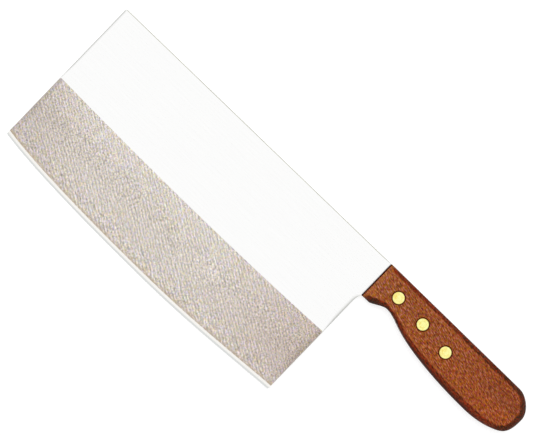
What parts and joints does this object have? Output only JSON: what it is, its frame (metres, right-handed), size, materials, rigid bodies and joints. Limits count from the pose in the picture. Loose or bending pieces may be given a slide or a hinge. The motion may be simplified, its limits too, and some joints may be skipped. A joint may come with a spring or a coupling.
{
  "type": "chinese cleaver",
  "caption": "Tall rectangular cleaver blade with wide ground faces and a gently curved edge, its tang riveted into a shaped wooden handle with a finger notch.",
  "frame": {"origin": "under the middle of the whole knife in plan, on the plane of the handle's lower flat face", "axes": "+X from the blade's tip to the handle's butt, +Y from the edge to the spine, +Z out of the left face of the blade, which is the face that the picture shows"},
  "size_m": [0.3416, 0.11, 0.02],
  "materials": {
    "blade_steel": "polished flat, fine slanted grinding lines on the ground faces, bright sharpened strip",
    "handle_wood": "reddish brown hardwood, fine lengthwise grain, oiled and sanded smooth",
    "rivet_brass": "polished, ground flush with the wood"
  },
  "bodies": {
    "root": {"blade": "blade_steel", "handle": "handle_wood", "front_rivet_male": "rivet_brass", "front_rivet_female": "rivet_brass", "middle_rivet_male": "rivet_brass", "middle_rivet_female": "rivet_brass", "rear_rivet_male": "rivet_brass", "rear_rivet_female": "rivet_brass"}
  },
  "joints": []
}
